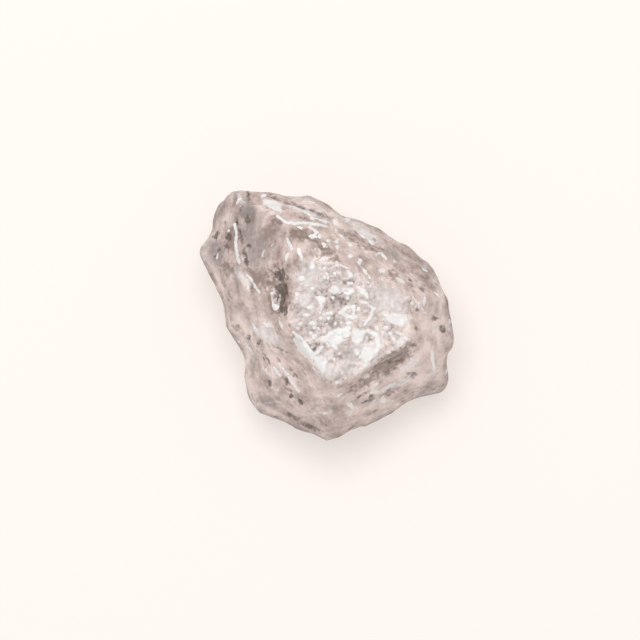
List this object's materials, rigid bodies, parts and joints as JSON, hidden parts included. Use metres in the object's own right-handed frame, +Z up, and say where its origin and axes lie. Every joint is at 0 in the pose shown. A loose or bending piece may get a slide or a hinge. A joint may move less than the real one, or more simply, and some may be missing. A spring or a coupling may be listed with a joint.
{
  "type": "rough morganite crystal",
  "caption": "Rough morganite: an angular, translucent pale pink beryl with a frosted upper face and ledged flanks, lying on its flat underside.",
  "frame": {"origin": "on the surface that the stone lies on, under the middle of its box", "axes": "+Z up out of the flat underside, +Y towards the stone's high peaked end, +X to the right of that when seen from above"},
  "size_m": [0.0206, 0.02, 0.0134],
  "materials": {
    "morganite": "translucent pale pink crystal, frosted white on the upper face, satin on the flanks"
  },
  "bodies": {
    "root": {"morganite": "morganite"}
  },
  "joints": []
}
